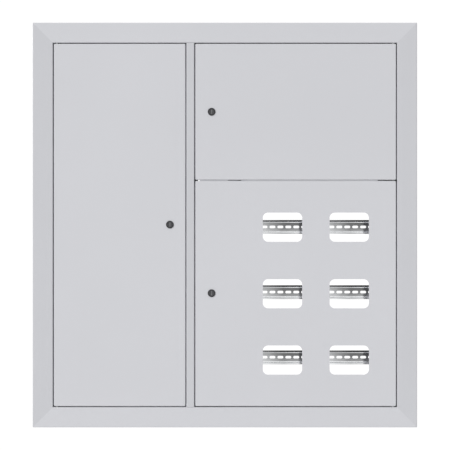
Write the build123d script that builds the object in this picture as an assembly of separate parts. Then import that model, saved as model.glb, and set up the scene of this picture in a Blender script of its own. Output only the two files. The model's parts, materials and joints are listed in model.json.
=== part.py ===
from build123d import *
import os

# Flush-mounted floor distribution board: a mitred surround on a sheet-metal box
# with an open back, a tall compartment on the left, and an upper and a lower
# compartment on the right.  Millimetres.  X to the right, Z up, the front faces
# -Y.  The origin is the centre of the rear plane, between the four wall fixings.

# ---------------------------------------------------------------- dimensions
WIDTH = 950.0            # over the surround
HEIGHT = 1000.0
DEPTH = 140.0            # front of the surround to the rear plane
FACE = 50.0              # width of the surround's face
SHEET = 1.5              # surround, box and dividers
BEND = 0.8               # inside radius of their bends
LIP = 12.0               # outer lip of the surround, front to back
REVEAL = 22.0            # front of the surround to the front of the door stops
STOP = 12.0              # width of the surround's door stop

MULL_L, MULL_R = -95.1, -75.6    # centre mullion's two edges
MULL_STOP = 8.9                  # width of its door stops
GAP = 2.5                        # gap round each door
DIVISION = 110.2                 # centre height of the gap between the right doors

DOOR_T = 1.2             # door sheet
DOOR_D = 18.0            # depth of a door's folded edge
DOOR_R = 3.0             # radius of a door's corners
PIVOT_X = 415.0          # hinge axis, from the centre
PIVOT_IN = 5.0           # hinge axis behind the front plane
PIN_R = 3.0
RUN = 0.05               # running clearance on the radius

WIN_W, WIN_H, WIN_R = 97.2, 72.0, 13.0
WIN_X = (142.2, 307.1)
WIN_Z = (-5.4, -169.8, -333.5)

LOCK_EDGE_L = -135.8     # lock centre of the left door
LOCK_EDGE_R = -32.9      # lock centres of the right doors
LOCK_Z_LEFT = 1.0
LOCK_Z_UPPER = 279.6
LOCK_Z_LOWER = -168.4
CAM_REACH = 40.0

BOX_X = 435.0            # inside of the side walls
BOX_Z = 460.0            # inside of the top and bottom walls
FLANGE = 25.0            # rear flange of the box
FIX_X, FIX_Z, FIX_R = 420.0, 400.0, 5.0

PART_R = MULL_R - SHEET  # right side of the vertical partition
SHELF_Z = 99.0           # underside of the horizontal divider
SHELF_FRONT = 122.0      # top of its front flange
SHELF_BACK = -20.0       # its rear edge

RAIL_W, RAIL_D, RAIL_T = 35.0, 7.5, 1.0
RAIL_IN = 86.0           # front of the rails behind the front plane
RAIL_Z = (-4.9, -169.0, -333.1)
SLOT_L, SLOT_H, PITCH = 15.0, 6.5, 20.0
UP_W, UP_D = 30.0, 15.0  # carrier uprights

F = -DEPTH               # front plane
STOP_Y = F + REVEAL      # front of the door stops
RAIL_Y = F + RAIL_IN     # front of the rails
UP_Y = RAIL_Y + RAIL_D   # front of the uprights


# ------------------------------------------------------------------- helpers
def block(x0, x1, y0, y1, z0, z1):
    return Pos((x0 + x1) / 2, (y0 + y1) / 2, (z0 + z1) / 2) * Box(
        abs(x1 - x0), abs(y1 - y0), abs(z1 - z0)
    )


def rod_z(r, x, y, z0, z1):
    return Pos(x, y, (z0 + z1) / 2) * Cylinder(r, abs(z1 - z0))


def rod_y(r, x, z, y0, y1):
    return Pos(x, (y0 + y1) / 2, z) * Rot(90, 0, 0) * Cylinder(r, abs(y1 - y0))


def folded(path, t, r):
    """Section of a folded sheet: path is one face of it, t lies on its left, and
    every bend has the inside radius r."""
    n = len(path)
    dirs = []
    for (ax, ay), (bx, by) in zip(path[:-1], path[1:]):
        length = ((bx - ax) ** 2 + (by - ay) ** 2) ** 0.5
        dirs.append(((bx - ax) / length, (by - ay) / length))
    other, soft = [], []
    for i, (px, py) in enumerate(path):
        d0 = dirs[max(i - 1, 0)]
        d1 = dirs[min(i, n - 2)]
        if i in (0, n - 1):
            other.append((px - d1[1] * t, py + d1[0] * t))
            continue
        ox, oy = px - d0[1] * t - d1[1] * t, py + d0[0] * t + d1[0] * t
        other.append((ox, oy))
        left = d0[0] * d1[1] - d0[1] * d1[0] > 0
        soft.append(((px, py), r + t if left else r))
        soft.append(((ox, oy), r if left else r + t))
    section = make_face(Polyline(*path, *reversed(other), close=True))
    for (x, y), radius in soft:
        corner = section.vertices().sort_by_distance(Vector(x, y, 0))[0]
        section = fillet(corner, radius)
    return section


def prism_x(section, x0, x1):
    """Section drawn as (Y, Z), run along X."""
    return Pos(x0, 0, 0) * extrude(Plane.YZ * section, amount=x1 - x0, dir=(1, 0, 0))


def prism_z(section, z0, z1):
    """Section drawn as (X, Y), run along Z."""
    return Pos(0, 0, z0) * extrude(section, amount=z1 - z0, dir=(0, 0, 1))


def plate_y(sketch, x, z, y0, y1):
    """Sketch drawn as (X, Z) about x, z, and cut or laid from y0 to y1."""
    flat = Plane(origin=(x, y0, z), x_dir=(1, 0, 0), z_dir=(0, -1, 0)) * sketch
    return extrude(flat, amount=y1 - y0, dir=(0, 1, 0))


made = {}


def keep(name, shape, count=1):
    solids = shape.solids()
    assert len(solids) == count, (name, len(solids))
    made[name] = solids[0] if count == 1 else Compound(children=list(solids))
    made[name].label = name


def group(shapes):
    out = []
    for s in shapes:
        out += list(s.solids())
    return Compound(children=out)


# ------------------------------------------------------------------ surround
# Outer lip, face, reveal and door stop are one fold; the ends are mitred.
surround = folded(
    [(0, LIP), (0, 0), (FACE, 0), (FACE, REVEAL), (FACE + STOP, REVEAL)], SHEET, BEND
)


def member(length):
    bar = prism_z(surround, -length / 2, length / 2)
    reach = FACE + STOP + 8
    mitre = make_face(
        Polyline(
            (0, -length / 2),
            (0, length / 2),
            (reach, length / 2 - reach),
            (reach, -length / 2 + reach),
            close=True,
        )
    )
    mitre = Plane(origin=(0, 0, 0), x_dir=(1, 0, 0), z_dir=(0, -1, 0)) * mitre
    return bar & extrude(mitre, amount=40, dir=(0, 1, 0))


PIVOT_Y = F + PIVOT_IN
pin_holes = [
    rod_z(PIN_R + RUN, s * PIVOT_X, PIVOT_Y, z * (HEIGHT / 2 - FACE - 2), z * (HEIGHT / 2 - FACE + 4))
    for s in (-1, 1)
    for z in (-1, 1)
]
top_rail = Pos(0, F, HEIGHT / 2) * Rot(0, 90, 0) * member(WIDTH)
bottom_rail = Pos(0, F, -HEIGHT / 2) * Rot(0, -90, 0) * member(WIDTH)
for hole in pin_holes:
    top_rail = top_rail - hole
    bottom_rail = bottom_rail - hole
keep("frame_top_rail", top_rail)
keep("frame_bottom_rail", bottom_rail)
keep("frame_left_stile", Pos(-WIDTH / 2, F, 0) * member(HEIGHT))
keep("frame_right_stile", Pos(WIDTH / 2, F, 0) * Rot(0, 180, 0) * member(HEIGHT))

# The mullion is a hat section; its stops give way to the surround's at the ends.
OPEN_Z = HEIGHT / 2 - FACE
mullion = prism_z(
    folded(
        [
            (MULL_L - MULL_STOP, STOP_Y),
            (MULL_L, STOP_Y),
            (MULL_L, F),
            (MULL_R, F),
            (MULL_R, STOP_Y),
            (MULL_R + MULL_STOP, STOP_Y),
        ],
        SHEET,
        BEND,
    ),
    -OPEN_Z,
    OPEN_Z,
)
for s in (-1, 1):
    mullion = mullion - block(
        MULL_L - 20, MULL_R + 20, STOP_Y, STOP_Y + 5, s * (OPEN_Z - STOP), s * (OPEN_Z + 2)
    )
    mullion = mullion - block(
        MULL_L - 20, MULL_R + 20, STOP_Y - 1, STOP_Y + 5, s * (OPEN_Z - 1), s * (OPEN_Z + 2)
    )
keep("centre_mullion", mullion)

# ----------------------------------------------------------------------- box
wall_path = [
    (-BOX_X - LIP, F + SHEET),
    (-BOX_X, F + SHEET),
    (-BOX_X, -SHEET),
    (-BOX_X + FLANGE, -SHEET),
]
side = prism_z(folded(wall_path, SHEET, BEND), -BOX_Z - SHEET, BOX_Z + SHEET)
for z in (-FIX_Z, FIX_Z):
    side = side - rod_y(FIX_R, -FIX_X, z, -5, 5)
for s in (-1, 1):
    side = side - block(-BOX_X, -BOX_X + FLANGE + 5, -5, 5, s * BOX_Z, s * (BOX_Z + 5))
keep("side_wall_left", side)
keep("side_wall_right", mirror(side, about=Plane.YZ))

# Top and bottom walls stand between the side walls, with two cable entries each.
ENTRY_Y0, ENTRY_Y1, ENTRY_R = F + 40, F + 88, 10.0
ENTRIES = ((-330.0, -190.0), (60.0, 280.0))


def entry(x0, x1):
    hole = RectangleRounded(x1 - x0, ENTRY_Y1 - ENTRY_Y0, ENTRY_R)
    return Pos((x0 + x1) / 2, (ENTRY_Y0 + ENTRY_Y1) / 2, BOX_Z - 5) * extrude(
        hole, amount=20, dir=(0, 0, 1)
    )


top_path = [
    (F + SHEET, BOX_Z + LIP),
    (F + SHEET, BOX_Z),
    (-SHEET, BOX_Z),
    (-SHEET, BOX_Z - FLANGE),
]
top = prism_x(folded(top_path, SHEET, BEND), -BOX_X, BOX_X)
for s in (-1, 1):
    top = top - block(s * (BOX_X - FLANGE), s * (BOX_X + 5), -SHEET - BEND, 5, BOX_Z - FLANGE - 2, BOX_Z)
for x0, x1 in ENTRIES:
    top = top - entry(x0, x1)

UPRIGHT_HOLE = 2.5
LOWER_UPRIGHTS = {"left": 70.0, "centre": 224.75, "right": 384.0}
UPPER_UPRIGHTS = {"left": 20.0, "right": 384.0}
FOOT_Y = UP_Y + UP_D / 2 + 1
bottom = mirror(top, about=Plane.XY)
for x in UPPER_UPRIGHTS.values():
    top = top - rod_z(UPRIGHT_HOLE, x, FOOT_Y, BOX_Z - 3, BOX_Z + 3)
for x in LOWER_UPRIGHTS.values():
    bottom = bottom - rod_z(UPRIGHT_HOLE, x, FOOT_Y, -BOX_Z - 3, -BOX_Z + 3)

EARTH_X, EARTH_Y = 335.0, F + 70
bottom = bottom - rod_z(4.0, EARTH_X, EARTH_Y, -BOX_Z - 3, -BOX_Z + 3)
keep("top_wall", top)
keep("bottom_wall", bottom)

# Partition between the left and right compartments, lapped on the mullion.
partition = prism_z(
    folded([(PART_R, F + SHEET + 1.5), (PART_R, 0), (PART_R - 20, 0)], SHEET, BEND),
    -BOX_Z,
    BOX_Z,
)
for s in (-1, 1):
    partition = partition - block(
        PART_R - 5, PART_R + 5, F - 1, STOP_Y + SHEET, s * (OPEN_Z - STOP), s * (BOX_Z + 5)
    )
    partition = partition - block(
        PART_R - 30, PART_R + 5, -SHEET - 1, 5, s * (BOX_Z - FLANGE), s * (BOX_Z + 5)
    )
keep("vertical_partition", partition)

# Divider between the two right compartments: stop, shelf and stiffening edge.
DIV_X0 = -62.0
shelf = prism_x(
    folded(
        [(STOP_Y, SHELF_FRONT), (STOP_Y, SHELF_Z), (SHELF_BACK, SHELF_Z), (SHELF_BACK, SHELF_Z - 15)],
        SHEET,
        BEND,
    ),
    PART_R,
    BOX_X,
)
shelf = shelf - block(PART_R - 1, DIV_X0, STOP_Y - 1, STOP_Y + SHEET + BEND, SHELF_Z - 1, SHELF_FRONT + 1)
shelf = shelf - block(
    WIDTH / 2 - FACE - STOP, BOX_X + 1, STOP_Y - 1, STOP_Y + SHEET + BEND, SHELF_Z - 1, SHELF_FRONT + 1
)
PASSES = ((60.0, 140.0), (160.0, 240.0), (260.0, 340.0))
PASS_Y0, PASS_Y1 = F + 40, F + 80
for x0, x1 in PASSES:
    slot = RectangleRounded(x1 - x0, PASS_Y1 - PASS_Y0, 8)
    shelf = shelf - Pos((x0 + x1) / 2, (PASS_Y0 + PASS_Y1) / 2, SHELF_Z - 5) * extrude(
        slot, amount=12, dir=(0, 0, 1)
    )
for x in list(LOWER_UPRIGHTS.values()) + list(UPPER_UPRIGHTS.values()):
    shelf = shelf - rod_z(UPRIGHT_HOLE, x, FOOT_Y, SHELF_Z - 2, SHELF_Z + 4)
# A tongue welded to its front flange fills the gap between the two doors; it has a
# shallow notch with a deeper end.
TAB_X0 = 378.0
tongue = block(DIV_X0, TAB_X0 - 0.4, F + 1.3, STOP_Y + 0.2, DIVISION - 0.75, DIVISION + 0.75)
tongue = tongue - block(8.5, 40.5, F - 1, F + 5, DIVISION - 3, DIVISION + 3)
tongue = tongue - block(35.0, 40.5, F - 1, F + 14, DIVISION - 3, DIVISION + 3)
keep("horizontal_divider", shelf + tongue)

# Hinge tab in the same gap, let into the right stile, with the middle pin in it; the
# pin's collar carries the upper door.
TAB_Z0, TAB_Z1 = DIVISION - 1.0, DIVISION + 0.2
tab = block(TAB_X0, WIDTH / 2 - FACE, F + 1, STOP_Y, TAB_Z0, TAB_Z1)
tab = fillet(tab.edges().filter_by(Axis.Z).sort_by(Axis.X)[:2].sort_by(Axis.Y)[0], 1.2)
tab = tab - rod_z(PIN_R, PIVOT_X, PIVOT_Y, DIVISION - 3, DIVISION + 3)
tab = tab - block(WIDTH / 2 - FACE - 1, WIDTH / 2 - FACE + 1, STOP_Y - 1, STOP_Y + 1, DIVISION - 3, DIVISION + 3)
keep("middle_hinge_tab", tab)
middle_pin = chamfer(
    rod_z(PIN_R, PIVOT_X, PIVOT_Y, DIVISION - 10, DIVISION + 10).edges().filter_by(GeomType.CIRCLE), 0.6)
keep("middle_hinge_pin", middle_pin + rod_z(3.75, PIVOT_X, PIVOT_Y, TAB_Z1, DIVISION + GAP / 2 - 0.2))

# Rubber buffer on the mullion's stop, behind the corners of both right doors.
buffer = block(MULL_R + 1.2, MULL_R + 8.6, F + DOOR_D + 0.3, STOP_Y, DIVISION - 8, DIVISION + 8)
buffer = fillet(buffer.edges().filter_by(Axis.Y), 1.5)
keep("stop_buffer", buffer)

# Hinge pins in the surround, each with a collar that carries the door.
PIN_IN = 12.0
pins = []
for s in (-1, 1):
    for z in (-1, 1):
        pin = rod_z(PIN_R, s * PIVOT_X, PIVOT_Y, z * (OPEN_Z - PIN_IN), z * (OPEN_Z + SHEET))
        pin = chamfer(
            pin.edges().filter_by(GeomType.CIRCLE).sort_by(Axis.Z)[0 if z > 0 else -1], 0.6
        )
        pin = pin + rod_z(3.75, s * PIVOT_X, PIVOT_Y, z * (OPEN_Z - GAP + 0.2), z * OPEN_Z)
        pins.append(pin)
keep("hinge_pins", group(pins), 4)


# ------------------------------------------------------- carriers and rails
def screw(x, y0, z, grip, sign=1):
    """Pan-head M5 along Y; the head's seat is at y0 and the shank goes towards +Y."""
    head = rod_y(4.75, x, z, y0 - 3.2, y0)
    head = fillet(head.edges().filter_by(GeomType.CIRCLE).sort_by(Axis.Y)[0], 1.6)
    cut = block(x - 0.6, x + 0.6, y0 - 4, y0 - 1.8, z - 3.2, z + 3.2)
    cut = cut + block(x - 3.2, x + 3.2, y0 - 4, y0 - 1.8, z - 0.6, z + 0.6)
    return head - cut + rod_y(2.4, x, z, y0 - 0.5, y0 + grip)


def foot_screw(x, y, z0, up):
    """Pan-head M5 along Z; the head's seat is at z0 and the shank goes up or down."""
    head = rod_z(4.75, x, y, z0 - up * 3.2, z0)
    edges = head.edges().filter_by(GeomType.CIRCLE).sort_by(Axis.Z)
    head = fillet(edges[0] if up > 0 else edges[-1], 1.6)
    return head + rod_z(2.4, x, y, z0 - up * 0.5, z0 + up * 5)


def upright(x, z0, z1, holes):
    """Channel open to the back, with a folded foot at each end."""
    h = UP_W / 2
    body = prism_z(
        folded(
            [(x - h, UP_Y + UP_D), (x - h, UP_Y), (x + h, UP_Y), (x + h, UP_Y + UP_D)],
            SHEET,
            BEND,
        ),
        z0,
        z1,
    )
    for z, inner in ((z0, z0 + SHEET), (z1 - SHEET, z1)):
        body = body + block(x - h + SHEET, x + h - SHEET, UP_Y + 0.5, UP_Y + UP_D, z, inner)
    for z in (z0, z1):
        body = body - rod_z(UPRIGHT_HOLE, x, FOOT_Y, z - 3, z + 3)
    for hx, hz in holes:
        body = body - rod_y(2.5, hx, hz, UP_Y - 1, UP_Y + 4)
    return body


def rail(x0, x1, z, phase):
    """Top-hat rail along X, with slots every PITCH counted from phase."""
    w, c, t = RAIL_W / 2, 12.5, RAIL_T
    web = RAIL_Y + RAIL_D - t
    bar = prism_x(
        folded(
            [
                (RAIL_Y, z + w),
                (RAIL_Y, z + c),
                (web, z + c),
                (web, z - c),
                (RAIL_Y, z - c),
                (RAIL_Y, z - w),
            ],
            t,
            0.6,
        ),
        x0,
        x1,
    )
    n = -40
    cuts = []
    while phase + n * PITCH < x1 + PITCH:
        cx = phase + n * PITCH
        if cx + SLOT_L / 2 > x0 and cx - SLOT_L / 2 < x1:
            cuts.append(plate_y(SlotOverall(SLOT_L, SLOT_H), cx, z, web - 2, web + 4))
        n += 1
    return bar - cuts


LEFT_RAIL = (68.5, 223.5, 139.75, (77.0, 217.0))
RIGHT_RAIL = (226.0, 398.0, 308.3, (233.0, 387.0))
UPPER_RAIL = (5.5, 398.5, 139.75, (20.0, 384.0))
UPPER_RAIL_Z = (365.0, 225.0)

rail_screws = []
for i, z in enumerate(RAIL_Z):
    for side_name, spec in (("left", LEFT_RAIL), ("right", RIGHT_RAIL)):
        x0, x1, phase, at = spec
        keep("meter_rail_%s_%d" % (side_name, i + 1), rail(x0, x1, z, phase))
        for x in at:
            rail_screws.append((x, z))
for i, z in enumerate(UPPER_RAIL_Z):
    x0, x1, phase, at = UPPER_RAIL
    keep("breaker_rail_%d" % (i + 1), rail(x0, x1, z, phase))
    for x in at:
        rail_screws.append((x, z))
keep(
    "rail_screws",
    group([screw(x, UP_Y - RAIL_T, z, 9) for x, z in rail_screws]),
    len(rail_screws),
)

foot_screws = []
for name, x in LOWER_UPRIGHTS.items():
    holes = [(hx, hz) for hx, hz in rail_screws if hz < SHELF_Z and abs(hx - x) < UP_W / 2]
    keep("meter_upright_" + name, upright(x, -BOX_Z, SHELF_Z, holes))
    foot_screws.append(foot_screw(x, FOOT_Y, -BOX_Z + SHEET, -1))
    foot_screws.append(foot_screw(x, FOOT_Y, SHELF_Z - SHEET, 1))
for name, x in UPPER_UPRIGHTS.items():
    holes = [(hx, hz) for hx, hz in rail_screws if hz > SHELF_Z and abs(hx - x) < UP_W / 2]
    keep("breaker_upright_" + name, upright(x, SHELF_Z + SHEET, BOX_Z, holes))
    foot_screws.append(foot_screw(x, FOOT_Y, BOX_Z - SHEET, 1))
foot_screws.append(foot_screw(UPPER_UPRIGHTS["left"], FOOT_Y, SHELF_Z + 2 * SHEET, -1))
keep("foot_screws", group(foot_screws), len(foot_screws))

# ------------------------------------------------- busbars and earth stud
BAR_W, BAR_H, BAR_LEN, WAYS = 12.0, 8.0, 170.0, 12


def busbar(x0, mid, z0):
    """Bar along X with a wire hole through it and a clamp-screw hole for each way."""
    bar = block(x0, x0 + BAR_LEN, mid - BAR_W / 2, mid + BAR_W / 2, z0, z0 + BAR_H)
    bar = chamfer(bar.edges().filter_by(Axis.X), 0.6)
    screws = []
    for i in range(WAYS):
        x = x0 + 25 + i * (BAR_LEN - 50) / (WAYS - 1)
        bar = bar - rod_y(2.6, x, z0 + 3.6, mid - BAR_W, mid + BAR_W)
        bar = bar - rod_z(2.05, x, mid, z0 + 4, z0 + BAR_H + 1)
        one = rod_z(2.0, x, mid, z0 + 5.4, z0 + BAR_H + 1.5)
        one = one + rod_z(3.2, x, mid, z0 + BAR_H + 0.6, z0 + BAR_H + 3.2)
        one = one - block(x - 4, x + 4, mid - 0.5, mid + 0.5, z0 + BAR_H + 2.0, z0 + BAR_H + 4)
        screws.append(one)
    for x in (x0 + 9, x0 + BAR_LEN - 9):
        bar = bar - rod_z(2.6, x, mid, z0 - 1, z0 + BAR_H + 1)
    return bar, screws


def post(x, mid, z0, h):
    """Moulded post under a bar's end, with a waist and a screw boss."""
    lower = Pos(x, mid, z0 + h * 0.15) * Box(18, 20, h * 0.3)
    lower = fillet(lower.edges().filter_by(Axis.Z), 2)
    upper = Pos(x, mid, z0 + h * 0.85) * Box(16, 14, h * 0.3)
    upper = fillet(upper.edges().filter_by(Axis.Z), 2)
    waist = Pos(x, mid, z0 + h * 0.5) * Cylinder(5.5, h * 0.8)
    return lower + upper + waist


N_X, N_Y, N_Z = 110.0, -46.0, SHELF_Z + SHEET
POST_H = 24.0
bar, screws = busbar(N_X, N_Y, N_Z + POST_H)
keep("neutral_busbar", bar)
keep("neutral_busbar_screws", group(screws), WAYS)
keep(
    "neutral_busbar_posts",
    group([post(N_X + 9, N_Y, N_Z, POST_H), post(N_X + BAR_LEN - 9, N_Y, N_Z, POST_H)]),
    2,
)
P_X, P_Y, P_Z = 100.0, -22.0, -BOX_Z
bar, screws = busbar(P_X, P_Y, P_Z + 14)
keep("earth_busbar", bar)
keep("earth_busbar_screws", group(screws), WAYS)


def bracket(x):
    """Folded foot under an end of the earth bar."""
    path = [(x - 22, P_Z), (x - 6, P_Z), (x - 6, P_Z + 12.5), (x + 8, P_Z + 12.5)]
    section = folded(path, SHEET, BEND)
    flat = Plane(origin=(0, P_Y + 5, 0), x_dir=(1, 0, 0), z_dir=(0, -1, 0)) * section
    return extrude(flat, amount=10, dir=(0, -1, 0))


keep("earth_busbar_feet", group([bracket(P_X + 9), mirror(bracket(P_X + 9), about=Plane(
    origin=(P_X + BAR_LEN / 2, 0, 0), x_dir=(0, 1, 0), z_dir=(1, 0, 0)))]), 2)

stud = rod_z(4.0, EARTH_X, EARTH_Y, -BOX_Z - SHEET, -BOX_Z + 26)
stud = chamfer(stud.edges().filter_by(GeomType.CIRCLE).sort_by(Axis.Z)[-1], 0.8)
neck = rod_z(6.0, EARTH_X, EARTH_Y, -BOX_Z + 8.1, -BOX_Z + 9.2)
neck = neck - rod_z(3.3, EARTH_X, EARTH_Y, -BOX_Z + 7, -BOX_Z + 10)
keep("earth_stud", stud - neck)
washer = rod_z(8.0, EARTH_X, EARTH_Y, -BOX_Z, -BOX_Z + 1.6) - rod_z(
    4.2, EARTH_X, EARTH_Y, -BOX_Z - 1, -BOX_Z + 3
)
nut = Pos(EARTH_X, EARTH_Y, -BOX_Z + 1.6) * extrude(
    RegularPolygon(7.5, 6, major_radius=True), amount=6.5, dir=(0, 0, 1)
) - rod_z(4.05, EARTH_X, EARTH_Y, -BOX_Z - 1, -BOX_Z + 12)
keep("earth_stud_nut", nut)
keep("earth_stud_washer", washer)


# --------------------------------------------------------------------- doors
def pan(x0, x1, z0, z1, lock):
    """Door folded back on all four sides, its corners welded and rounded."""
    y1 = F + DOOR_D
    skin = block(x0, x1, F, y1, z0, z1)
    skin = fillet(skin.edges().filter_by(Axis.Y), DOOR_R)
    skin = fillet(skin.faces().sort_by(Axis.Y)[0].edges(), DOOR_T + 0.6)
    hollow = block(x0 + DOOR_T, x1 - DOOR_T, F + DOOR_T, y1 + 10, z0 + DOOR_T, z1 - DOOR_T)
    hollow = fillet(hollow.edges().filter_by(Axis.Y), DOOR_R - DOOR_T)
    hollow = fillet(hollow.faces().sort_by(Axis.Y)[0].edges(), 0.6)
    door = skin - hollow
    lx, lz = lock
    hole = Circle(8.6) & Rectangle(15.4, 30)
    door = door - plate_y(hole, lx, lz, F - 1, F + 3)
    return door


def pin_hole(door, x, z):
    return door - rod_z(PIN_R + RUN, x, PIVOT_Y, z - 5, z + 5)


ZT = OPEN_Z - GAP
left = pan(-425 + GAP, MULL_L - GAP, -ZT, ZT, (LOCK_EDGE_L, LOCK_Z_LEFT))
left = pin_hole(pin_hole(left, -PIVOT_X, ZT), -PIVOT_X, -ZT)
keep("left_door", left)
Z_MID_T, Z_MID_B = DIVISION + GAP / 2, DIVISION - GAP / 2
upper = pan(MULL_R + GAP, 425 - GAP, Z_MID_T, ZT, (LOCK_EDGE_R, LOCK_Z_UPPER))
upper = pin_hole(pin_hole(upper, PIVOT_X, ZT), PIVOT_X, Z_MID_T)
keep("upper_door", upper)
lower = pan(MULL_R + GAP, 425 - GAP, -ZT, Z_MID_B, (LOCK_EDGE_R, LOCK_Z_LOWER))
lower = pin_hole(pin_hole(lower, PIVOT_X, Z_MID_B), PIVOT_X, -ZT)
for wx in WIN_X:
    for wz in WIN_Z:
        lower = lower - plate_y(RectangleRounded(WIN_W, WIN_H, WIN_R), wx, wz, F - 2, F + 4)
keep("lower_door", lower)


# --------------------------------------------------------------------- locks
BARREL_Y = STOP_Y        # rear end of the lock barrel
CAM_Y0, CAM_Y1 = STOP_Y + SHEET + 1.5, STOP_Y + SHEET + 4.0


def lock(name, x, z):
    bezel = rod_y(9.5, x, z, F - 2.0, F)
    bezel = fillet(bezel.edges().filter_by(GeomType.CIRCLE).sort_by(Axis.Y)[0], 0.9)
    barrel = plate_y(Circle(8.5) & Rectangle(15.2, 30), x, z, F - 0.5, BARREL_Y)
    keep(name + "_lock_body", bezel + barrel - rod_y(6.75, x, z, F - 5, BARREL_Y + 5))
    hexagon = RegularPolygon(12.2, 6, major_radius=True)
    ring = plate_y(hexagon, x, z, F + DOOR_T, F + DOOR_T + 4.5) - rod_y(8.55, x, z, F, F + 10)
    keep(name + "_lock_nut", ring)

    plug = rod_y(6.7, x, z, F - 1.3, BARREL_Y)
    plug = plug + plate_y(Rectangle(8, 8), x, z, BARREL_Y - 0.5, CAM_Y1)
    plug = plug - plate_y(SlotOverall(11.4, 3.4, rotation=90), x, z, F - 2, F - 0.5)
    plug = plug - plate_y(Rectangle(1.5, 9.0), x, z, F - 2, F + 11)
    plug = plug - rod_y(2.5, x, z, CAM_Y1 - 8, CAM_Y1 + 1)
    keep(name + "_lock_plug", plug)

    arm = plate_y(Circle(10), x, z, CAM_Y0, CAM_Y1)
    arm = arm + block(x - 7.5, x + 7.5, CAM_Y0, CAM_Y1, z - CAM_REACH + 7.5, z)
    arm = arm + plate_y(Circle(7.5), x, z - CAM_REACH + 7.5, CAM_Y0, CAM_Y1)
    arm = arm - plate_y(Rectangle(8.1, 8.1), x, z, CAM_Y0 - 1, CAM_Y1 + 1)
    keep(name + "_lock_cam", arm)

    head = rod_y(6.5, x, z, CAM_Y1, CAM_Y1 + 3.2)
    head = fillet(head.edges().filter_by(GeomType.CIRCLE).sort_by(Axis.Y)[-1], 1.4)
    cut = block(x - 3.6, x + 3.6, CAM_Y1 + 1.8, CAM_Y1 + 4, z - 0.6, z + 0.6)
    cut = cut + block(x - 0.6, x + 0.6, CAM_Y1 + 1.8, CAM_Y1 + 4, z - 3.6, z + 3.6)
    keep(name + "_cam_screw", head - cut + rod_y(2.45, x, z, CAM_Y1 - 7, CAM_Y1 + 0.5))


lock("left", LOCK_EDGE_L, LOCK_Z_LEFT)
lock("upper", LOCK_EDGE_R, LOCK_Z_UPPER)
lock("lower", LOCK_EDGE_R, LOCK_Z_LOWER)

os.makedirs("parts", exist_ok=True)
for name, shape in made.items():
    export_step(shape, "parts/" + name + ".step")
    print(name, round(shape.volume / 1000, 2), "cm3")
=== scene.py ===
import json
import math

import bmesh
import bpy
from mathutils import Matrix, Vector


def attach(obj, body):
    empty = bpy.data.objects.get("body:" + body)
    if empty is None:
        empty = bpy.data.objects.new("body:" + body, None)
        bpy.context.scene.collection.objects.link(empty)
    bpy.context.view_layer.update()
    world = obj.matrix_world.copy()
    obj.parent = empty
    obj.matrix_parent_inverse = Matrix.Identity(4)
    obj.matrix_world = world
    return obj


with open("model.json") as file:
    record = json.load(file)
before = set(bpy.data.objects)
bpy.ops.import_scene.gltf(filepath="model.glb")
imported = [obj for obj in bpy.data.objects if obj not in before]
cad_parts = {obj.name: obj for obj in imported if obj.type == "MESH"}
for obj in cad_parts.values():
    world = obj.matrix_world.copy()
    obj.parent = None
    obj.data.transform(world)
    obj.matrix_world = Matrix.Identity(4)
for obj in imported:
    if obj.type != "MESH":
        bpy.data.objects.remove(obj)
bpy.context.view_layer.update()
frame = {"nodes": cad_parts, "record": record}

# Floor distribution board: looks only.  Metres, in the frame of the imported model:
# X to the right, Z up, the front plane at Y = -0.140.

F = -0.140
nodes = frame["nodes"]
slot_of = {s["node"]: s["material_slot"] for s in frame["record"]["subparts"]}
scene = bpy.context.scene


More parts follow.
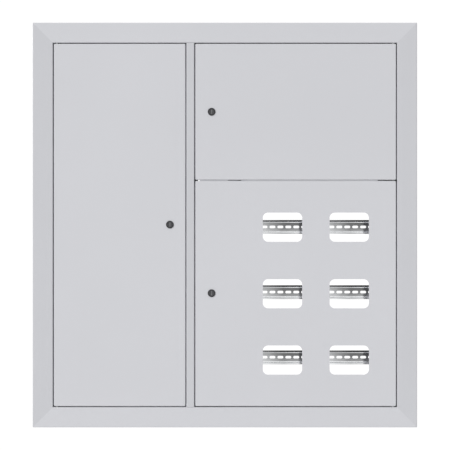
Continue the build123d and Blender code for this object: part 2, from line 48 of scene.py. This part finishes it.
# ------------------------------------------------------------------ materials
class Tree:
    """Small helper round one material's nodes."""

    def __init__(self, name):
        self.mat = bpy.data.materials.new(name)
        self.mat.use_nodes = True
        self.nt = self.mat.node_tree
        self.bsdf = self.nt.nodes["Principled BSDF"]
        self.coord = self.nt.nodes.new("ShaderNodeTexCoord").outputs["Object"]

    def add(self, kind, **props):
        n = self.nt.nodes.new(kind)
        for k, v in props.items():
            setattr(n, k, v)
        return n

    def join(self, a, b):
        self.nt.links.new(a, b)

    def mapping(self, scale=(1, 1, 1), loc=(0, 0, 0), rot=(0, 0, 0)):
        n = self.add("ShaderNodeMapping")
        n.inputs["Scale"].default_value = scale
        n.inputs["Location"].default_value = loc
        n.inputs["Rotation"].default_value = rot
        self.join(self.coord, n.inputs["Vector"])
        return n.outputs["Vector"]

    def noise(self, scale, detail=2.0, rough=0.5, vector=None):
        n = self.add("ShaderNodeTexNoise")
        n.inputs["Scale"].default_value = scale
        n.inputs["Detail"].default_value = detail
        n.inputs["Roughness"].default_value = rough
        self.join(vector or self.coord, n.inputs["Vector"])
        return n.outputs["Fac"]

    def math(self, op, a, b=None, c=None, clamp=False):
        n = self.add("ShaderNodeMath", operation=op, use_clamp=clamp)
        for i, v in enumerate((a, b, c)):
            if v is None:
                continue
            if isinstance(v, (int, float)):
                n.inputs[i].default_value = v
            else:
                self.join(v, n.inputs[i])
        return n.outputs[0]

    def ramp(self, fac, stops, mode="LINEAR"):
        n = self.add("ShaderNodeValToRGB")
        n.color_ramp.interpolation = mode
        el = n.color_ramp.elements
        while len(el) > 1:
            el.remove(el[-1])
        el[0].position, el[0].color = stops[0][0], (*stops[0][1], 1)
        for p, c in stops[1:]:
            e = el.new(p)
            e.color = (*c, 1)
        self.join(fac, n.inputs["Fac"])
        return n.outputs["Color"]

    def mix(self, fac, a, b, blend="MIX"):
        n = self.add("ShaderNodeMix", data_type="RGBA", blend_type=blend)
        for key, v in ((0, fac), (6, a), (7, b)):
            if isinstance(v, (int, float)):
                n.inputs[key].default_value = v
            elif isinstance(v, tuple):
                n.inputs[key].default_value = (*v, 1) if len(v) == 3 else v
            else:
                self.join(v, n.inputs[key])
        return n.outputs[2]

    def bump(self, height, strength, distance, normal=None):
        n = self.add("ShaderNodeBump")
        n.inputs["Strength"].default_value = strength
        n.inputs["Distance"].default_value = distance
        self.join(height, n.inputs["Height"])
        if normal:
            self.join(normal, n.inputs["Normal"])
        return n.outputs["Normal"]

    def xyz(self):
        n = self.add("ShaderNodeSeparateXYZ")
        self.join(self.coord, n.inputs[0])
        return n.outputs

    def set(self, **values):
        for k, v in values.items():
            key = k.replace("_", " ")
            sock = self.bsdf.inputs[key]
            if isinstance(v, (int, float)):
                sock.default_value = v
            elif isinstance(v, tuple):
                sock.default_value = (*v, 1) if len(v) == 3 else v
            else:
                self.join(v, sock)


def srgb(r, g, b):
    f = lambda c: c / 255 / 12.92 if c / 255 <= 0.04045 else ((c / 255 + 0.055) / 1.055) ** 2.4
    return (f(r), f(g), f(b))


def powder_coat(name, colour, seed):
    """Semi-matt powder paint: orange peel, fine speckle and a faint slow change of tone."""
    t = Tree(name)
    slow = t.noise(2.3, 2.0, 0.5, t.mapping(loc=(seed, 0.3 * seed, 0)))
    fine = t.noise(1400, 2.0, 0.6)
    peel = t.noise(420, 3.0, 0.55)
    tone = t.ramp(
        slow,
        [
            (0.30, tuple(c * 0.985 for c in colour)),
            (0.70, tuple(min(1, c * 1.012) for c in colour)),
        ],
    )
    speck = t.ramp(fine, [(0.35, (0.965, 0.965, 0.965)), (0.65, (1, 1, 1))])
    t.set(
        Base_Color=t.mix(1.0, tone, speck, "MULTIPLY"),
        Roughness=t.math("MULTIPLY_ADD", peel, 0.16, 0.40),
        Normal=t.bump(t.math("MULTIPLY_ADD", fine, 0.25, peel), 0.16, 0.0002),
    )
    t.bsdf.inputs["Specular IOR Level"].default_value = 0.42
    return t.mat


def zinc(name, colour, painted_shading=None, metal=0.85, rough=0.34, streak=(3, 500, 500), relief=0.10, vary=0.18):
    """Zinc-plated steel: drawn streaks along the length, faint spangle, passivation tint."""
    t = Tree(name)
    lines = t.noise(1.0, 3.0, 0.65, t.mapping(scale=streak))
    cloud = t.noise(55, 3.0, 0.6)
    grain = t.noise(900, 2.0, 0.5)
    base = t.ramp(
        cloud,
        [
            (0.30, tuple(c * 0.92 for c in colour)),
            (0.72, tuple(min(1, c * 1.05) for c in colour)),
        ],
    )
    base = t.mix(1.0, base, t.ramp(lines, [(0.3, (0.93, 0.93, 0.93)), (0.7, (1, 1, 1))]), "MULTIPLY")
    # Optional painted shading (painted shade and painted highlights) multiplied into the base colour; used
    # on the meter rails.
    if painted_shading:
        base = t.mix(1.0, base, painted_shading(t), "MULTIPLY")
    t.set(
        Base_Color=base,
        Metallic=metal,
        Roughness=t.math("MULTIPLY_ADD", lines, vary, rough - vary / 2),
        Normal=t.bump(t.math("ADD", lines, t.math("MULTIPLY", grain, 0.4)), relief, 0.0001),
    )
    return t.mat


def grey(v):
    return (v, v, v)


# Painted shading of a meter rail over its height, from the bottom edge (0) to the top edge (1), at the
# left, in the middle and at the right of a window: a painted highlight on the lower edge, painted shade on
# a web that darkens upwards, a painted highlight line and painted shade on the rolled top edge.
def rail_painted_shading_stops(line, band, low, mid, top, thin, edge):
    return [
        (0.000, grey(line)),
        (0.050, grey(line)),
        (0.062, grey(band)),
        (0.190, grey(band)),
        (0.212, grey(low)),
        (0.500, grey(mid)),
        (0.796, grey(top)),
        (0.808, grey(thin)),
        (0.880, grey(thin)),
        (0.892, grey(edge)),
        (1.000, grey(edge)),
    ]


# Painted shading at the left, middle and right of a window: the web gets darker towards the right, painted
# shade.
RAIL_PAINTED_SHADING = (
    rail_painted_shading_stops(0.62, 0.90, 0.575, 0.475, 0.365, 0.64, 0.17),
    rail_painted_shading_stops(0.28, 0.84, 0.280, 0.190, 0.122, 0.64, 0.045),
    rail_painted_shading_stops(0.50, 1.00, 0.380, 0.215, 0.110, 1.00, 0.030),
)


def painted_rail_shading(x_left, x_right, centres_z):
    """Painted shade and painted highlights by height over the nearest rail's middle and by place across the
    window.
    """

    def make(t):
        x, y, z = t.xyz()
        near, size = None, None
        for cz in centres_z:
            d = t.math("SUBTRACT", z, cz)
            a = t.math("ABSOLUTE", d)
            if near is None:
                near, size = d, a
            else:
                closer = t.math("LESS_THAN", a, size)
                near = t.math(
                    "ADD",
                    t.math("MULTIPLY", d, closer),
                    t.math("MULTIPLY", near, t.math("SUBTRACT", 1.0, closer)),
                )
                size = t.math("MINIMUM", a, size)
        h = t.math("MULTIPLY_ADD", near, 1 / 0.035, 0.5, clamp=True)
        run = t.math("DIVIDE", t.math("SUBTRACT", x, x_left), x_right - x_left, clamp=True)
        first = t.math("MULTIPLY", run, 2.0, clamp=True)
        second = t.math("MULTIPLY_ADD", run, 2.0, -1.0, clamp=True)
        left, mid, right = (t.ramp(h, stops) for stops in RAIL_PAINTED_SHADING)
        return t.mix(second, t.mix(first, left, mid), right)

    return make


def dark_cast(name, colour, rough, metal=0.6):
    """Dark satin die casting with a fine turned and blasted skin."""
    t = Tree(name)
    cloud = t.noise(260, 3.0, 0.6)
    fine = t.noise(2600, 2.0, 0.6)
    t.set(
        Base_Color=t.ramp(
            cloud,
            [(0.3, tuple(c * 0.8 for c in colour)), (0.7, tuple(min(1, c * 1.25) for c in colour))],
        ),
        Metallic=metal,
        Roughness=t.math("MULTIPLY_ADD", cloud, 0.2, rough - 0.1),
        Normal=t.bump(fine, 0.15, 0.0001),
    )
    return t.mat


def brass_bar(name):
    t = Tree(name)
    lines = t.noise(1.0, 3.0, 0.65, t.mapping(scale=(4, 700, 700)))
    cloud = t.noise(70, 3.0, 0.6)
    t.set(
        Base_Color=t.mix(
            1.0,
            t.ramp(cloud, [(0.3, srgb(176, 142, 74)), (0.7, srgb(206, 174, 104))]),
            t.ramp(lines, [(0.3, grey(0.88)), (0.7, grey(1.0))]),
            "MULTIPLY",
        ),
        Metallic=0.95,
        Roughness=t.math("MULTIPLY_ADD", lines, 0.2, 0.2),
        Normal=t.bump(lines, 0.1, 0.0001),
    )
    return t.mat


def moulded(name, colour, rough=0.45):
    t = Tree(name)
    fine = t.noise(1600, 2.0, 0.6)
    cloud = t.noise(40, 2.0, 0.5)
    t.set(
        Base_Color=t.ramp(
            cloud,
            [(0.3, tuple(c * 0.9 for c in colour)), (0.7, tuple(min(1, c * 1.1) for c in colour))],
        ),
        Roughness=t.math("MULTIPLY_ADD", fine, 0.15, rough - 0.07),
        Normal=t.bump(fine, 0.12, 0.00015),
    )
    return t.mat


DOOR = srgb(207, 207.4, 211.2)
# The upright members take the door paint a little darker: painted shade for how light falls on them.
SIDE_SHADED = srgb(200.5, 201, 204.8)
ROWS = (-0.0049, -0.1690, -0.3331)
ZINC = srgb(247, 248, 249)

mats = {
    "sheet_paint": powder_coat("sheet_paint", DOOR, 1.7),
    # upright_paint is the door paint darkened as painted shade.
    "upright_paint": powder_coat("upright_paint", SIDE_SHADED, 4.1),
    "box_paint": powder_coat("box_paint", srgb(204, 205, 209), 7.3),
    "zinc": zinc("zinc", srgb(186, 188, 190), rough=0.42),
    # Meter rails: zinc with painted shade and painted highlights over their height and across each window.
    "rail_left": zinc("rail_left", ZINC, painted_rail_shading(0.097, 0.195, ROWS), metal=0.92, rough=0.10, relief=0.01, vary=0.03),
    "rail_right": zinc("rail_right", ZINC, painted_rail_shading(0.265, 0.363, ROWS), metal=0.92, rough=0.10, relief=0.01, vary=0.03),
    "pin_steel": zinc("pin_steel", srgb(140, 141, 142), rough=0.26, streak=(60, 60, 60)),
    "rubber": moulded("rubber", srgb(34, 34, 35), 0.75),
    "bright_zinc": zinc("bright_zinc", srgb(208, 209, 208), rough=0.30, streak=(60, 60, 60)),
    "dark_zinc": dark_cast("dark_zinc", srgb(52, 52, 55), 0.5),
    "lock_dark": dark_cast("lock_dark", srgb(46, 46, 48), 0.42),
    "lock_plug": dark_cast("lock_plug", srgb(66, 66, 68), 0.38),
    "lock_shutter": zinc("lock_shutter", srgb(112, 112, 114), rough=0.40, streak=(400, 400, 20)),
    "brass": brass_bar("brass"),
    "post_plastic": moulded("post_plastic", srgb(38, 84, 160)),
}

for name, obj in nodes.items():
    key = slot_of[name]
    if name.startswith("meter_rail_left"):
        key = "rail_left"
    elif name.startswith("meter_rail_right"):
        key = "rail_right"
    elif name in ("hinge_pins", "middle_hinge_pin"):
        key = "pin_steel"
    if not obj.material_slots:
        obj.data.materials.append(mats[key])
    for s in obj.material_slots:
        s.material = mats[key]


# ------------------------------------------------------------- added details
def obround(width, height, steps=20):
    """Outline of a round-ended slot standing upright, counter-clockwise from above right."""
    r, half = width / 2, height / 2 - width / 2
    pts = []
    for i in range(steps + 1):
        a = math.pi * i / steps
        pts.append((r * math.cos(a), half + r * math.sin(a)))
    for i in range(steps + 1):
        a = math.pi + math.pi * i / steps
        pts.append((r * math.cos(a), -half + r * math.sin(a)))
    return pts


def shutter(name, x, z):
    """Spring shutter in the keyway: a round-ended plate with a fine slit and a rolled rim."""
    bm = bmesh.new()
    y0, y1 = F - 0.00055, F - 0.0009
    rings = []
    for scale_w, scale_h, y in (
        (0.0028, 0.0112, y0),
        (0.0028, 0.0112, y1 + 0.0001),
        (0.0026, 0.0110, y1),
        (0.0010, 0.0090, y1),
        (0.0006, 0.0084, y1 + 0.00025),
    ):
        rings.append([bm.verts.new((x + px, y, z + pz)) for px, pz in obround(scale_w, scale_h)])
    for a, b in zip(rings[:-1], rings[1:]):
        n = len(a)
        for i in range(n):
            bm.faces.new((a[i], a[(i + 1) % n], b[(i + 1) % n], b[i]))
    bm.faces.new(rings[-1])
    bm.faces.new(list(reversed(rings[0])))
    bmesh.ops.recalc_face_normals(bm, faces=bm.faces)
    mesh = bpy.data.meshes.new(name)
    bm.to_mesh(mesh)
    bm.free()
    obj = bpy.data.objects.new(name, mesh)
    scene.collection.objects.link(obj)
    mesh.materials.append(mats["lock_shutter"])
    return obj


for who, lx, lz in (("left", -0.1358, 0.001), ("upper", -0.0329, 0.2796), ("lower", -0.0329, -0.1684)):
    piece = shutter(who + "_keyway_shutter", lx, lz)
    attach(piece, who + "_lock")


# --------------------------------------------------------- floor and daylight
def pale_floor(name):
    """Pale matt floor under the board that runs out into white."""
    t = Tree(name)
    cloud = t.noise(1.3, 2.0, 0.5)
    t.set(Base_Color=t.ramp(cloud, [(0.3, grey(0.84)), (0.7, grey(0.86))]))
    t.bsdf.inputs["Roughness"].default_value = 0.8
    x, y, z = t.xyz()
    out = t.math("SQRT", t.math("ADD", t.math("MULTIPLY", x, x), t.math("MULTIPLY", y, y)))
    glow = t.add("ShaderNodeEmission")
    glow.inputs["Color"].default_value = (1, 1, 1, 1)
    glow.inputs["Strength"].default_value = 1.05
    both = t.add("ShaderNodeMixShader")
    t.join(t.ramp(out, [(0.22, grey(0)), (0.46, grey(1))], "EASE"), both.inputs[0])
    t.join(t.bsdf.outputs[0], both.inputs[1])
    t.join(glow.outputs[0], both.inputs[2])
    t.join(both.outputs[0], t.nt.nodes["Material Output"].inputs["Surface"])
    return t.mat


bm = bmesh.new()
bmesh.ops.create_circle(bm, cap_ends=True, segments=96, radius=0.5)
disc = bpy.data.meshes.new("floor")
bm.to_mesh(disc)
bm.free()
floor = bpy.data.objects.new("floor", disc)
scene.collection.objects.link(floor)
floor.location = (0, -0.07, -0.95)
floor.scale = (6.0, 6.0, 1)
disc.materials.append(pale_floor("floor_pale"))

world = bpy.data.worlds.new("studio")
scene.world = world
world.use_nodes = True
wn = world.node_tree
wn.nodes.clear()
out = wn.nodes.new("ShaderNodeOutputWorld")
path = wn.nodes.new("ShaderNodeLightPath")


def ground(colour, strength):
    n = wn.nodes.new("ShaderNodeBackground")
    n.inputs["Color"].default_value = (*colour, 1)
    n.inputs["Strength"].default_value = strength
    return n.outputs[0]


def either(which, a, b):
    n = wn.nodes.new("ShaderNodeMixShader")
    wn.links.new(path.outputs[which], n.inputs[0])
    wn.links.new(a, n.inputs[1])
    wn.links.new(b, n.inputs[2])
    return n.outputs[0]


soft = ground((0.985, 0.99, 1.0), 0.58)
gloss = ground((0.99, 0.995, 1.0), 1.25)
seen = ground((1, 1, 1), 1.05)
wn.links.new(either("Is Camera Ray", either("Is Glossy Ray", soft, gloss), seen), out.inputs["Surface"])


def area(name, place, aim, size, power, spread=math.pi):
    data = bpy.data.lights.new(name, "AREA")
    data.shape = "RECTANGLE"
    data.size, data.size_y = size
    data.energy = power
    data.spread = spread
    obj = bpy.data.objects.new(name, data)
    scene.collection.objects.link(obj)
    obj.location = place
    obj.rotation_mode = "QUATERNION"
    obj.rotation_quaternion = (Vector(aim) - Vector(place)).to_track_quat("-Z", "Y")
    return obj


area("key", (-27.0, -36.0, 28.5), (0, -0.1, 0), (12.0, 12.0), 13960)
area("rear", (-2.3, 3.2, 1.3), (0.2, 0, 0.15), (2.0, 2.0), 9, spread=0.6)

# -------------------------------------------------------------------- camera
DIST = 4.5
SPAN = 450 * 0.0024695
cam_data = bpy.data.cameras.new("camera")
cam_data.sensor_width = 36.0
cam_data.lens = 36.0 * DIST / SPAN
cam_data.clip_start, cam_data.clip_end = 0.05, 100
cam = bpy.data.objects.new("camera", cam_data)
scene.collection.objects.link(cam)
cam.location = (0.0002, F - DIST, 0.0)
cam.rotation_mode = "QUATERNION"
cam.rotation_quaternion = Vector((0, 1, 0)).to_track_quat("-Z", "Y")
scene.camera = cam

scene.view_settings.view_transform = "Standard"
scene.view_settings.look = "None"
scene.view_settings.exposure = 0.0
scene.view_settings.gamma = 1.0

bpy.context.view_layer.update()
